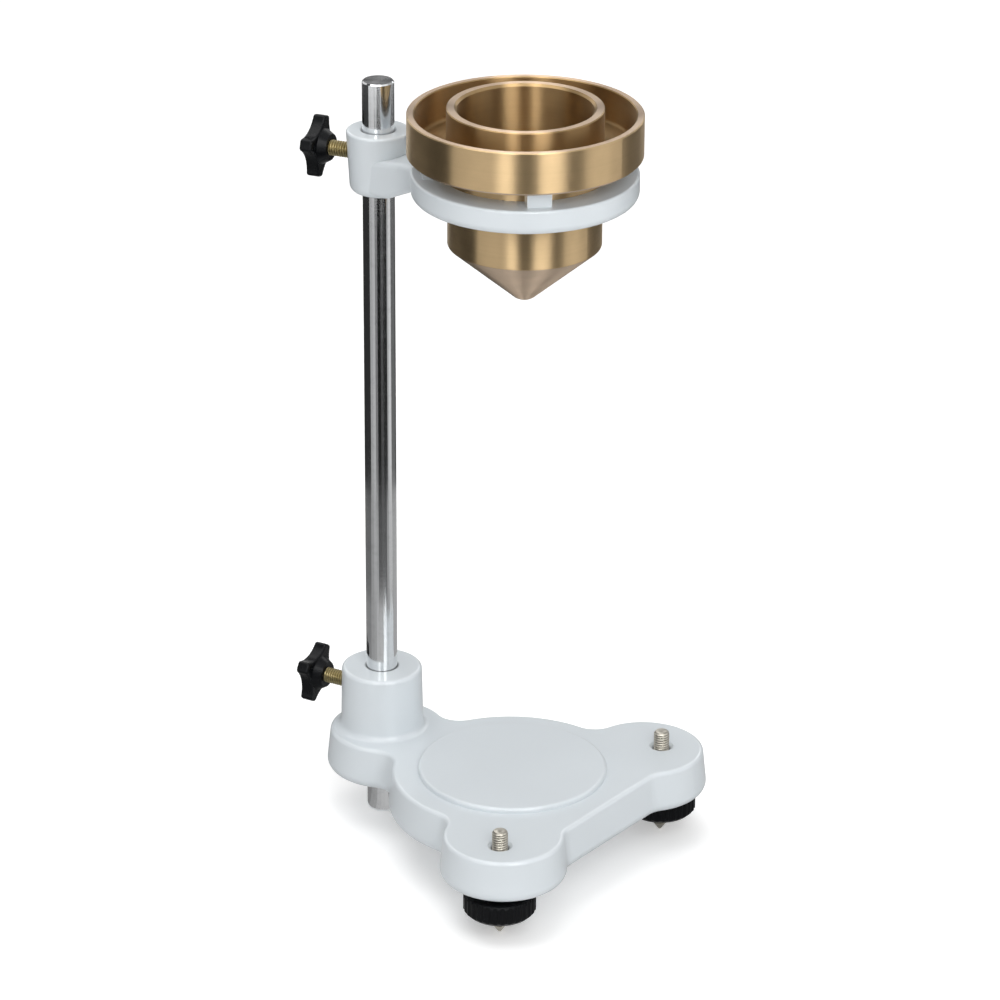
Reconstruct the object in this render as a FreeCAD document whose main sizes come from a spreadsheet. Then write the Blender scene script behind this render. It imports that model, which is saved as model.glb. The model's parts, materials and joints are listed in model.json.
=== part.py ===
# Flow cup viscometer on its levelling stand, in millimetres.
# +Z is up and +X runs from the column towards the cup.
# The origin is the middle of the column's foot, on the table.
import FreeCAD, Part
import math
import os
import Sketcher
from FreeCAD import Rotation, Vector

# Every size that can be set by itself, with what it measures.
SIZES = [
    ("rod_diameter", 12.0, "column, outside"),
    ("rod_length", 300.0, "column, foot to top"),
    ("rod_top_chamfer", 0.5, "column, turned top edge"),
    ("rod_foot_round", 0.6, "column, rounded foot"),
    ("rod_clearance", 0.05, "column in a casting's bore, on the radius"),
    ("hub_bore_chamfer", 0.8, "mouths of the bracket's column bore"),
    ("boss_bore_chamfer", 0.3, "mouth of the base's column bore"),
    ("base_lift", 19.2, "underside of the base above the table"),
    ("plate_thickness", 16.8, "base plate"),
    ("plate_draft", 1.8, "lean of the plate's side, bottom to top"),
    ("plate_top_round", 1.6, "base plate, upper edge"),
    ("plate_under_round", 3.6, "base plate, lower edge"),
    ("body_radius", 47.3, "round body of the base, at its underside"),
    ("body_near_reach", 15.9, "column to the near side of the round body, at its underside"),
    ("column_lobe_reach", 2.8, "column to the middle of its own lobe"),
    ("column_lobe_radius", 24.0, "lobe that carries the column, at its underside"),
    ("foot_angle", 56.6, "levelling screw and its lobe, from +X about the round body, degrees"),
    ("foot_lobe_beyond", 6.4, "middle of a foot lobe beyond the round body's side"),
    ("foot_lobe_shift", 1.3, "both foot lobes towards +Y, as cast"),
    ("foot_lobe_radius", 24.3, "lobe that carries a levelling screw, at its underside"),
    ("web_beyond", 0.3, "straight side between the foot lobes beyond the round body's side"),
    ("lobe_blend", 9.0, "hollow corner between a lobe and the body"),
    ("pad_advance", 0.6, "middle of the round body to the middle of the receiver pad"),
    ("pad_inset", 11.3, "side of the receiver pad inside the round body's side"),
    ("pad_rise", 2.1, "receiver pad above the plate"),
    ("pad_round", 1.1, "receiver pad, edge"),
    ("boss_root_radius", 16.0, "column boss at the plate"),
    ("boss_top_radius", 15.5, "column boss at its top"),
    ("boss_rise", 25.3, "column boss above the plate"),
    ("boss_root_round", 2.4, "hollow corner round the boss"),
    ("boss_top_round", 1.6, "column boss, upper edge"),
    ("thread_diameter", 6.0, "clamp and levelling screws, outside"),
    ("thread_clearance", 0.05, "screw in its hole, on the radius"),
    ("screw_chamfer", 0.7, "screw ends"),
    ("foot_beyond", 14.1, "levelling screw beyond the round body's side"),
    ("countersink_depth", 1.6, "mouth of a levelling hole"),
    ("levelling_stand", 6.3, "levelling screw above the plate"),
    ("levelling_point", 3.4, "levelling screw, turned point"),
    ("point_flat_radius", 0.6, "levelling screw, blunted tip"),
    ("wheel_diameter", 27.2, "levelling wheel"),
    ("wheel_height", 8.2, "levelling wheel, rim"),
    ("wheel_lift", 8.6, "underside of the levelling wheel above the table"),
    ("wheel_top_chamfer", 0.8, "levelling wheel, upper edge"),
    ("wheel_under_chamfer", 1.6, "levelling wheel, lower edge"),
    ("wheel_recess_depth", 2.6, "dish in the top of the wheel"),
    ("wheel_rim_width", 4.2, "rim round the dish"),
    ("wheel_hub_radius", 6.2, "hub in the middle of the wheel"),
    ("wheel_hub_rise", 0.9, "wheel hub above the rim"),
    ("wheel_flute_radius", 1.3, "grip flute"),
    ("wheel_flute_depth", 0.55, "grip flute"),
    ("wheel_flutes", 30, "grip flutes round the wheel"),
    ("rod_tip_gap", 0.1, "clamp screw's tip off the column"),
    ("column_clamp_rise", 15.1, "lower clamp screw above the plate"),
    ("column_clamp_heading", 8.7, "lower clamp screw, from -X towards -Y, degrees"),
    ("column_knob_standoff", 24.6, "column to the lower knob's collar"),
    ("column_knob_angle", 76.7, "lower knob, first hollow from straight up, degrees"),
    ("bracket_clamp_rise", 14.1, "upper clamp screw above the hub's underside"),
    ("bracket_clamp_heading", 14.5, "upper clamp screw, from -X towards -Y, degrees"),
    ("bracket_knob_standoff", 19.1, "column to the upper knob's collar"),
    ("bracket_knob_angle", 62.7, "upper knob, first hollow from straight up, degrees"),
    ("knob_radius", 11.5, "lobed knob, over the lobes"),
    ("knob_thickness", 5.0, "lobed knob, lobes"),
    ("knob_lobes", 4, "lobes of a knob"),
    ("hollow_radius", 11.0, "hollow between two lobes"),
    ("hollow_reach", 18.4, "knob axis to the middle of a hollow"),
    ("knob_corner_round", 1.2, "lobed knob, corners of the lobes"),
    ("knob_edge_round", 0.8, "lobed knob, edges"),
    ("collar_root_radius", 6.8, "knob collar at the lobes"),
    ("collar_face_radius", 5.0, "knob collar at its face"),
    ("collar_length", 3.0, "knob collar"),
    ("stud_in_knob", 6.5, "length of a clamp screw inside its knob"),
    ("rod_above_hub", 19.0, "column above the bracket's hub"),
    ("hub_height", 24.0, "bracket hub"),
    ("hub_top_radius", 12.0, "bracket hub at its top"),
    ("hub_under_radius", 10.6, "bracket hub at its underside"),
    ("hub_top_round", 1.0, "bracket hub, upper edge"),
    ("hub_under_round", 3.2, "bracket hub, lower edge"),
    ("cup_reach", 67.85, "column to the cup's axis"),
    ("ring_radius", 41.4, "bracket ring, outside"),
    ("ring_rise", 13.6, "underside of the ring above the hub's underside"),
    ("ring_height", 9.3, "bracket ring"),
    ("ring_top_round", 0.8, "bracket ring, upper edge"),
    ("ring_under_round", 2.8, "bracket ring, lower edge"),
    ("arm_width", 20.4, "arm from the hub to the ring"),
    ("arm_under_rise", 1.4, "underside of the arm at the hub above the hub's underside"),
    ("arm_top_rise", 14.4, "top of the arm at the hub above the hub's underside"),
    ("arm_heel_reach", 10.8, "column to where the arm's underside starts to climb"),
    ("arm_heel_share", 0.6, "bend in the arm's underside, over the gap from hub to ring"),
    ("arm_end_lift", 0.6, "arm's underside at its end above the ring's underside"),
    ("arm_end_drop", 2.7, "arm's top at its end below the ring's top"),
    ("arm_end_overlap", 1.0, "arm's end inside the ring's bore, before the bore is cut"),
    ("arm_flare_share", 1.25, "arm's hollow corner at the ring, over the gap from hub to ring"),
    ("arm_edge_round", 2.2, "arm, long edges"),
    ("lug_width", 8.8, "cup seat lug"),
    ("lug_rise", 6.3, "cup seat lug above the ring"),
    ("lug_reach", 37.7, "cup axis to a lug's outer face"),
    ("lug_angle", 45.0, "first lug from +X, degrees"),
    ("lug_count", 4, "cup seat lugs"),
    ("seat_clearance", 0.1, "cup spigot in the ring, on the radius"),
    ("seat_gap", 0.02, "pressed parts of the cup, on the radius"),
    ("spigot_radius", 31.0, "gallery spigot"),
    ("spigot_length", 10.0, "gallery spigot below the gallery's floor"),
    ("gallery_radius", 42.8, "overflow gallery, outside"),
    ("gallery_wall", 2.7, "overflow gallery, wall"),
    ("gallery_height", 15.8, "overflow gallery"),
    ("gallery_floor", 3.0, "overflow gallery, floor"),
    ("gallery_lower_edge", 0.8, "overflow gallery, lower edges"),
    ("channel_round", 1.5, "corner at the bottom of the overflow channel"),
    ("turned_edge", 0.35, "broken edges of the turned brass parts"),
    ("cup_height", 73.3, "cup, rim to the jet's outlet"),
    ("cup_rim_radius", 28.5, "cup above its shoulder"),
    ("cup_body_radius", 28.1, "cup below its shoulder"),
    ("cup_rim_rise", 2.4, "cup's rim above the gallery's rim"),
    ("cup_bore_diameter", 49.5, "cup, inside"),
    ("cup_rim_bevel", 0.9, "cup's rim, inner edge"),
    ("cup_cone_angle", 81.0, "cup's inner cone, whole angle, degrees"),
    ("nose_height", 20.8, "outer cone of the cup"),
    ("nose_radius", 3.7, "outer cone of the cup at its end"),
    ("nose_shoulder_round", 0.8, "edge between the cup's side and its outer cone"),
    ("jet_radius", 3.1, "jet, outside"),
    ("jet_stand", 0.5, "jet below the cup's nose"),
    ("jet_land", 0.15, "jet's upper end face"),
    ("orifice_diameter", 4.0, "jet, bore"),
    ("orifice_length", 4.0, "jet, bore"),
]

doc = FreeCAD.newDocument("FlowCupViscometer")
sheet = doc.addObject("Spreadsheet::Sheet", "Sizes")
for row, (alias, number, meaning) in enumerate(SIZES, start=1):
    sheet.set(f"A{row}", meaning)
    sheet.set(f"B{row}", str(number))
    sheet.setAlias(f"B{row}", alias)
doc.recompute()

# Heights and lengths that follow from the sizes, as expressions.
PLATE_TOP = "(Sizes.base_lift + Sizes.plate_thickness)"
ROD_BORE = "(Sizes.rod_diameter / 2 + Sizes.rod_clearance)"
SCREW_HOLE = "(Sizes.thread_diameter / 2 + Sizes.thread_clearance)"
SCREW_START = "(Sizes.rod_diameter / 2 + Sizes.rod_tip_gap)"
BODY_REACH = "(Sizes.body_near_reach + Sizes.body_radius)"
FOOT_DISTANCE = "(Sizes.body_radius + Sizes.foot_beyond)"
FOOT_REACH = f"({BODY_REACH} + {FOOT_DISTANCE} * cos(Sizes.foot_angle))"
FOOT_SPREAD = f"({FOOT_DISTANCE} * sin(Sizes.foot_angle))"
LOBE_DISTANCE = "(Sizes.body_radius + Sizes.foot_lobe_beyond)"
LOBE_REACH = f"({BODY_REACH} + {LOBE_DISTANCE} * cos(Sizes.foot_angle))"
LOBE_SPREAD = f"({LOBE_DISTANCE} * sin(Sizes.foot_angle))"
HUB_LIFT = "(Sizes.rod_length - Sizes.rod_above_hub - Sizes.hub_height)"
ARM_GAP = "(Sizes.cup_reach - Sizes.ring_radius - Sizes.hub_top_radius)"
RING_TOP_RISE = "(Sizes.ring_rise + Sizes.ring_height)"
RING_TOP = f"({HUB_LIFT} + {RING_TOP_RISE})"
RING_BORE = "(Sizes.spigot_radius + Sizes.seat_clearance)"
GALLERY_UNDERSIDE = f"({RING_TOP} + Sizes.lug_rise)"
CUP_RIM = f"({GALLERY_UNDERSIDE} + Sizes.gallery_height + Sizes.cup_rim_rise)"
JET_OUTLET = f"({CUP_RIM} - Sizes.cup_height)"
CUP_BORE = "(Sizes.cup_bore_diameter / 2)"
CONE_SLOPE = "tan(Sizes.cup_cone_angle / 2)"
JET_MOUTH = "(Sizes.jet_radius - Sizes.jet_land)"
JET_LENGTH = (
    f"(Sizes.orifice_length + ({JET_MOUTH} - Sizes.orifice_diameter / 2) / {CONE_SLOPE})"
)
CONE_TOP = (
    f"(Sizes.orifice_length + ({CUP_BORE} - Sizes.orifice_diameter / 2) / {CONE_SLOPE})"
)
SHOULDER = (
    "(Sizes.cup_height - Sizes.cup_rim_rise - Sizes.gallery_height + Sizes.gallery_floor)"
)


def size(alias):
    """The number that the sheet holds under this alias."""
    return float(sheet.get(alias))


def new_body(label, x="0", y="0", z="0", rotation=None):
    """An empty body whose place is bound to the sheet."""
    body = doc.addObject("PartDesign::Body", label)
    body.Label = label
    if rotation:
        body.Placement.Rotation = rotation
    body.setExpression("Placement.Base.x", x)
    body.setExpression("Placement.Base.y", y)
    body.setExpression("Placement.Base.z", z)
    return body


def new_sketch(body, plane, name, height=None, reach=None, turn=None, turn_about=Vector(0, 0, 1)):
    """A sketch on one of the body's own planes, raised, shifted or turned in it."""
    sketch = body.newObject("Sketcher::SketchObject", name)
    support = next(o for o in body.Origin.OriginFeatures if o.Role == plane)
    sketch.AttachmentSupport = [(support, "")]
    sketch.MapMode = "FlatFace"
    sketch.AttachmentOffset = FreeCAD.Placement(Vector(), Rotation(turn_about, 1.0 if turn else 0.0))
    if height:
        sketch.setExpression("AttachmentOffset.Base.z", height)
    if reach:
        sketch.setExpression("AttachmentOffset.Base.x", reach)
    if turn:
        sketch.setExpression("AttachmentOffset.Rotation.Angle", turn)
    return sketch


def fix_point(sketch, geometry, point, x, y):
    """Tie one point of a sketch to two expressions; 0 puts it on that axis."""
    if x == "0" and y == "0":
        sketch.addConstraint(Sketcher.Constraint("Coincident", geometry, point, -1, 1))
        return
    for kind, axis, expression in (("DistanceX", -2, x), ("DistanceY", -1, y)):
        if expression == "0":
            sketch.addConstraint(Sketcher.Constraint("PointOnObject", geometry, point, axis))
        else:
            index = sketch.addConstraint(Sketcher.Constraint(kind, geometry, point, 1.0))
            sketch.setExpression(f"Constraints[{index}]", expression)


def add_circle(sketch, x, y, radius):
    """A circle whose middle and radius are expressions."""
    circle = sketch.addGeometry(Part.Circle(Vector(1, 1, 0), Vector(0, 0, 1), 1.0), False)
    fix_point(sketch, circle, 3, x, y)
    index = sketch.addConstraint(Sketcher.Constraint("Radius", circle, 1.0))
    sketch.setExpression(f"Constraints[{index}]", radius)


def add_profile(sketch, corners):
    """A closed outline of straight lines; each corner is a pair of expressions."""
    count = len(corners)
    turn = 2 * math.pi / count
    points = [Vector(math.cos(i * turn), math.sin(i * turn), 0) for i in range(count)]
    lines = [
        sketch.addGeometry(Part.LineSegment(points[i], points[(i + 1) % count]), False)
        for i in range(count)
    ]
    for i in range(count):
        following = lines[(i + 1) % count]
        sketch.addConstraint(Sketcher.Constraint("Coincident", lines[i], 2, following, 1))
    for line, (x, y) in zip(lines, corners):
        fix_point(sketch, line, 1, x, y)


def add_rectangle(sketch, width, low, high):
    """A rectangle centred on the sketch's upright axis."""
    half = f"({width}) / 2"
    add_profile(sketch, [(f"-{half}", low), (half, low), (half, high), (f"-{half}", high)])


def pad(body, sketch, name, length):
    """Material over a sketch."""
    feature = body.newObject("PartDesign::Pad", name)
    feature.Profile = sketch
    feature.setExpression("Length", length)
    sketch.Visibility = False
    return feature


def pocket(body, sketch, name, length, reverse=False):
    """A cut from a sketch that must take material away."""
    doc.recompute()
    before = body.Shape.Volume
    feature = body.newObject("PartDesign::Pocket", name)
    feature.Profile = sketch
    feature.Reversed = reverse
    feature.setExpression("Length", length)
    sketch.Visibility = False
    doc.recompute()
    if body.Shape.Volume >= before:
        raise RuntimeError(f"{name} cuts nothing")
    return feature


def revolve(body, sketch, name):
    """A full turn of a sketch about its own upright axis."""
    feature = body.newObject("PartDesign::Revolution", name)
    feature.Profile = sketch
    feature.ReferenceAxis = (sketch, ["V_Axis"])
    feature.Angle = 360.0
    sketch.Visibility = False
    return feature


def turned(body, name, corners, reach=None, across=None):
    """A turned solid about an upright axis; corners are (radius, height) expressions."""
    sketch = new_sketch(body, "XZ_Plane", f"{name}_profile", across, reach)
    add_profile(sketch, corners)
    return revolve(body, sketch, name)


def combine(body, kind, name, other):
    """Join another body to this one, or keep what both share."""
    feature = body.newObject("PartDesign::Boolean", name)
    feature.Type = kind
    feature.setObjects([other])
    doc.recompute()
    return feature


def repeat_round(body, sketch, feature, name, count):
    """Copies of a feature, evenly spaced about the origin of its sketch."""
    pattern = body.newObject("PartDesign::PolarPattern", name)
    pattern.Originals = [feature]
    pattern.Axis = (sketch, ["N_Axis"])
    pattern.Angle = 360.0
    pattern.setExpression("Occurrences", count)
    body.Tip = pattern
    return pattern


def dress(body, kind, name, amount, chosen):
    """A fillet or chamfer on every edge between two faces that chosen() picks."""
    doc.recompute()
    base = body.Tip
    edges = [
        f"Edge{i}"
        for i, edge in enumerate(base.Shape.Edges, 1)
        if chosen(edge) and len(base.Shape.ancestorsOfType(edge, Part.Face)) == 2
    ]
    if not edges:
        raise RuntimeError(f"{name} finds no edge")
    feature = body.newObject(f"PartDesign::{kind}", name)
    feature.Base = (base, edges)
    feature.setExpression("Radius" if kind == "Fillet" else "Size", amount)
    body.Tip = feature
    doc.recompute()
    return feature


def near(one, other, within=0.01):
    """True where two lengths are the same."""
    return abs(one - other) < within


def flat_at(edge, height):
    """True for an edge that lies at one height."""
    box = edge.BoundBox
    return near(box.ZMin, height) and near(box.ZMax, height)


def is_round(edge, radius, height):
    """True for a circular edge of this radius about Z at this height."""
    curve = edge.Curve
    return (
        isinstance(curve, Part.Circle)
        and near(curve.Radius, radius)
        and flat_at(edge, height)
        and near(abs(curve.Axis.z), 1.0)
    )


def upright(edge):
    """True for a straight edge along Z."""
    box = edge.BoundBox
    return near(box.XLength, 0) and near(box.YLength, 0) and box.ZLength > 1


def make_column():
    """Chromed rod that is clamped in the base and stands on the table."""
    body = new_body("column_rod")
    sketch = new_sketch(body, "XY_Plane", "rod_section")
    add_circle(sketch, "0", "0", "Sizes.rod_diameter / 2")
    pad(body, sketch, "rod", "Sizes.rod_length")
    top = size("rod_length")
    dress(body, "Chamfer", "rod_top_edge", "Sizes.rod_top_chamfer", lambda e: flat_at(e, top))
    dress(body, "Fillet", "rod_foot_edge", "Sizes.rod_foot_round", lambda e: flat_at(e, 0))


def clamp_hole(body, side, height, depth):
    """Hole from the column's axis outwards, in the heading of a clamp screw."""
    sketch = new_sketch(body, "YZ_Plane", "clamp_hole_outline",
                        turn=f"Sizes.{side}_clamp_heading", turn_about=Vector(0, 1, 0))
    add_circle(sketch, "0", height, SCREW_HOLE)
    pocket(body, sketch, "clamp_hole", depth)


def drafted_disc(body, name, radius, reach, across=None):
    """A round part of the base plate, narrower at its top."""
    turned(body, name, [
        ("0", "0"),
        (radius, "0"),
        (f"{radius} - Sizes.plate_draft", "Sizes.plate_thickness"),
        ("0", "Sizes.plate_thickness"),
    ], reach, across)


def make_base():
    """Enamelled casting: drafted plate with three lobes, column boss and receiver pad."""
    body = new_body("base_casting", z="Sizes.base_lift")
    thickness = size("plate_thickness")
    drafted_disc(body, "round_body", "Sizes.body_radius", BODY_REACH)
    drafted_disc(body, "column_lobe", "Sizes.column_lobe_radius", "Sizes.column_lobe_reach")
    for side, sign in (("front", ""), ("rear", "-")):
        drafted_disc(body, f"{side}_lobe", "Sizes.foot_lobe_radius", LOBE_REACH,
                     f"{sign}{LOBE_SPREAD} - Sizes.foot_lobe_shift")
    half_web = f"({LOBE_SPREAD} - Sizes.lobe_blend)"
    web = new_sketch(body, "XZ_Plane", "web_section", f"-{half_web}")
    straight_side = f"{BODY_REACH} + Sizes.body_radius + Sizes.web_beyond"
    add_profile(web, [
        (BODY_REACH, "0"),
        (straight_side, "0"),
        (f"{straight_side} - Sizes.plate_draft", "Sizes.plate_thickness"),
        (BODY_REACH, "Sizes.plate_thickness"),
    ])
    pad(body, web, "web", f"2 * {half_web}")
    dress(body, "Fillet", "lobe_blends", "Sizes.lobe_blend",
          lambda e: near(e.BoundBox.ZLength, thickness))

    boss_top = thickness + size("boss_rise")
    turned(body, "column_boss", [
        ("0", "0"),
        ("Sizes.boss_root_radius", "0"),
        ("Sizes.boss_root_radius", "Sizes.plate_thickness"),
        ("Sizes.boss_top_radius", "Sizes.plate_thickness + Sizes.boss_rise"),
        ("0", "Sizes.plate_thickness + Sizes.boss_rise"),
    ])
    root = size("boss_root_radius")
    dress(body, "Fillet", "boss_root", "Sizes.boss_root_round",
          lambda e: is_round(e, root, thickness))
    crown = size("boss_top_radius")
    dress(body, "Fillet", "boss_crown", "Sizes.boss_top_round",
          lambda e: is_round(e, crown, boss_top))
    flare = root + size("boss_root_round")
    dress(body, "Fillet", "plate_upper_edge", "Sizes.plate_top_round",
          lambda e: flat_at(e, thickness) and not is_round(e, flare, thickness))
    dress(body, "Fillet", "plate_lower_edge", "Sizes.plate_under_round",
          lambda e: flat_at(e, 0))

    receiver = new_sketch(body, "XY_Plane", "pad_outline", "Sizes.plate_thickness")
    add_circle(receiver, f"{BODY_REACH} + Sizes.pad_advance", "0",
               "Sizes.body_radius - Sizes.pad_inset")
    pad(body, receiver, "receiver_pad", "Sizes.pad_rise")
    pad_top = thickness + size("pad_rise")
    dress(body, "Fillet", "pad_edge", "Sizes.pad_round", lambda e: flat_at(e, pad_top))

    rod_hole = new_sketch(body, "XY_Plane", "rod_hole_outline")
    add_circle(rod_hole, "0", "0", ROD_BORE)
    pocket(body, rod_hole, "rod_hole", "Sizes.plate_thickness + Sizes.boss_rise", reverse=True)
    bore = size("rod_diameter") / 2 + size("rod_clearance")
    dress(body, "Chamfer", "rod_hole_mouth", "Sizes.boss_bore_chamfer",
          lambda e: is_round(e, bore, boss_top))
    feet = new_sketch(body, "XY_Plane", "levelling_hole_outlines")
    for side in (FOOT_SPREAD, f"-{FOOT_SPREAD}"):
        add_circle(feet, FOOT_REACH, side, SCREW_HOLE)
    pocket(body, feet, "levelling_holes", "Sizes.plate_thickness", reverse=True)
    hole = size("thread_diameter") / 2 + size("thread_clearance")
    dress(body, "Chamfer", "levelling_hole_mouths", "Sizes.countersink_depth",
          lambda e: is_round(e, hole, thickness))
    clamp_hole(body, "column", "Sizes.plate_thickness + Sizes.column_clamp_rise",
               "Sizes.boss_root_radius + Sizes.boss_root_round")


def make_bracket_arm():
    """Helper body of the bracket's arm, flared into the ring and deep at the hub."""
    arm = new_body("bracket_arm")
    outline = new_sketch(arm, "XY_Plane", "arm_outline")
    half = "Sizes.arm_width / 2"
    add_profile(outline, [
        ("0", f"-{half}"),
        ("Sizes.cup_reach", f"-{half}"),
        ("Sizes.cup_reach", half),
        ("0", half),
    ])
    pad(arm, outline, "arm_block", RING_TOP_RISE)
    end = new_sketch(arm, "XY_Plane", "arm_end_outline", reach="Sizes.cup_reach")
    add_circle(end, "0", "0", "Sizes.ring_radius")
    pad(arm, end, "arm_end", RING_TOP_RISE)
    dress(arm, "Fillet", "arm_flare", f"Sizes.arm_flare_share * {ARM_GAP}",
          lambda e: upright(e) and e.BoundBox.XMin > size("hub_top_radius"))

    side = new_body("bracket_arm_side")
    section = new_sketch(side, "XZ_Plane", "arm_side_outline", "-Sizes.ring_radius")
    end_reach = f"Sizes.cup_reach - {RING_BORE} + Sizes.arm_end_overlap"
    add_profile(section, [
        ("0", "Sizes.arm_under_rise"),
        ("Sizes.arm_heel_reach", "Sizes.arm_under_rise"),
        (end_reach, "Sizes.ring_rise + Sizes.arm_end_lift"),
        (end_reach, f"{RING_TOP_RISE} - Sizes.arm_end_drop"),
        ("0", "Sizes.arm_top_rise"),
    ])
    pad(side, section, "arm_side", "2 * Sizes.ring_radius")
    combine(arm, "Common", "arm_side_cut", side)
    heel = size("arm_heel_reach")
    dress(arm, "Fillet", "arm_heel", f"Sizes.arm_heel_share * {ARM_GAP}",
          lambda e: near(e.BoundBox.XMin, heel) and near(e.BoundBox.XMax, heel))
    edge_round = size("arm_edge_round")
    dress(arm, "Fillet", "arm_edges", "Sizes.arm_edge_round",
          lambda e: near(e.BoundBox.YLength, 0) and e.BoundBox.XLength > edge_round)
    return arm


def make_bracket():
    """Enamelled casting that slides on the column and carries the cup on four lugs."""
    body = new_body("cup_bracket", z=HUB_LIFT)
    ring_top = size("ring_rise") + size("ring_height")
    ring = new_sketch(body, "XY_Plane", "ring_outline", "Sizes.ring_rise", "Sizes.cup_reach")
    add_circle(ring, "0", "0", "Sizes.ring_radius")
    pad(body, ring, "ring", "Sizes.ring_height")
    dress(body, "Fillet", "ring_upper_edge", "Sizes.ring_top_round",
          lambda e: flat_at(e, ring_top))
    dress(body, "Fillet", "ring_lower_edge", "Sizes.ring_under_round",
          lambda e: flat_at(e, size("ring_rise")))
    combine(body, "Fuse", "arm", make_bracket_arm())

    turned(body, "hub", [
        ("0", "0"),
        ("Sizes.hub_under_radius", "0"),
        ("Sizes.hub_top_radius", "Sizes.hub_height"),
        ("0", "Sizes.hub_height"),
    ])
    dress(body, "Fillet", "hub_upper_edge", "Sizes.hub_top_round",
          lambda e: flat_at(e, size("hub_height")))
    dress(body, "Fillet", "hub_lower_edge", "Sizes.hub_under_round", lambda e: flat_at(e, 0))

    lug = new_sketch(body, "XY_Plane", "lug_outline", RING_TOP_RISE, "Sizes.cup_reach",
                     "Sizes.lug_angle")
    half = "Sizes.lug_width / 2"
    inner = "Sizes.spigot_radius * 0.9"
    add_profile(lug, [
        (inner, f"-{half}"),
        ("Sizes.lug_reach", f"-{half}"),
        ("Sizes.lug_reach", half),
        (inner, half),
    ])
    first_lug = pad(body, lug, "lug", "Sizes.lug_rise")
    repeat_round(body, lug, first_lug, "lugs", "Sizes.lug_count")
    lug_top_rise = f"({RING_TOP_RISE} + Sizes.lug_rise)"
    bore = new_sketch(body, "XY_Plane", "ring_bore_outline", lug_top_rise, "Sizes.cup_reach")
    add_circle(bore, "0", "0", RING_BORE)
    pocket(body, bore, "ring_bore", "Sizes.ring_height + Sizes.lug_rise")
    rod_hole = new_sketch(body, "XY_Plane", "rod_hole_outline")
    add_circle(rod_hole, "0", "0", ROD_BORE)
    pocket(body, rod_hole, "rod_hole", "Sizes.hub_height", reverse=True)
    rod_bore = size("rod_diameter") / 2 + size("rod_clearance")
    dress(body, "Chamfer", "rod_hole_mouths", "Sizes.hub_bore_chamfer",
          lambda e: is_round(e, rod_bore, 0) or is_round(e, rod_bore, size("hub_height")))
    clamp_hole(body, "bracket", "Sizes.bracket_clamp_rise",
               "Sizes.hub_top_radius + Sizes.hub_top_round")


def make_cup():
    """Turned cup: cylinder, inner cone and outer nose, bored for the jet."""
    body = new_body("cup_body", x="Sizes.cup_reach", z=JET_OUTLET)
    jet_hole = "Sizes.jet_radius + Sizes.seat_gap"
    turned(body, "cup", [
        (jet_hole, "Sizes.jet_stand"),
        ("Sizes.nose_radius", "Sizes.jet_stand"),
        ("Sizes.cup_body_radius", "Sizes.jet_stand + Sizes.nose_height"),
        ("Sizes.cup_body_radius", SHOULDER),
        ("Sizes.cup_rim_radius", SHOULDER),
        ("Sizes.cup_rim_radius", "Sizes.cup_height"),
        (CUP_BORE, "Sizes.cup_height"),
        (CUP_BORE, CONE_TOP),
        (JET_MOUTH, JET_LENGTH),
        (jet_hole, JET_LENGTH),
    ])
    rim = size("cup_height")
    bore = size("cup_bore_diameter") / 2
    nose_top = size("jet_stand") + size("nose_height")
    dress(body, "Fillet", "nose_shoulder", "Sizes.nose_shoulder_round",
          lambda e: is_round(e, size("cup_body_radius"), nose_top))
    dress(body, "Chamfer", "rim_bevel", "Sizes.cup_rim_bevel", lambda e: is_round(e, bore, rim))
    dress(body, "Chamfer", "rim_outer_edge", "Sizes.turned_edge",
          lambda e: is_round(e, size("cup_rim_radius"), rim))


def make_jet():
    """Calibrated jet, pressed into the cup's nose from below."""
    body = new_body("orifice_jet", x="Sizes.cup_reach", z=JET_OUTLET)
    bore = "Sizes.orifice_diameter / 2"
    turned(body, "jet", [
        (bore, "0"),
        ("Sizes.jet_radius", "0"),
        ("Sizes.jet_radius", JET_LENGTH),
        (JET_MOUTH, JET_LENGTH),
        (bore, "Sizes.orifice_length"),
    ])
    dress(body, "Chamfer", "jet_lower_edge", "Sizes.turned_edge",
          lambda e: is_round(e, size("jet_radius"), 0))


def make_gallery():
    """Turned overflow gallery with the spigot that centres the cup in the bracket."""
    body = new_body("overflow_gallery", x="Sizes.cup_reach", z=GALLERY_UNDERSIDE)
    hole = "Sizes.cup_body_radius + Sizes.seat_gap"
    inside = "Sizes.gallery_radius - Sizes.gallery_wall"
    turned(body, "gallery", [
        (hole, "-Sizes.spigot_length"),
        ("Sizes.spigot_radius", "-Sizes.spigot_length"),
        ("Sizes.spigot_radius", "0"),
        ("Sizes.gallery_radius", "0"),
        ("Sizes.gallery_radius", "Sizes.gallery_height"),
        (inside, "Sizes.gallery_height"),
        (inside, "Sizes.gallery_floor"),
        (hole, "Sizes.gallery_floor"),
    ])
    outer = size("gallery_radius")
    rim = size("gallery_height")
    wall = outer - size("gallery_wall")
    dress(body, "Chamfer", "rim_edges", "Sizes.turned_edge",
          lambda e: is_round(e, outer, rim) or is_round(e, wall, rim))
    dress(body, "Chamfer", "lower_edges", "Sizes.gallery_lower_edge",
          lambda e: is_round(e, outer, 0)
          or is_round(e, size("spigot_radius"), -size("spigot_length")))
    dress(body, "Fillet", "channel_corner", "Sizes.channel_round",
          lambda e: is_round(e, wall, size("gallery_floor")))


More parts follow.
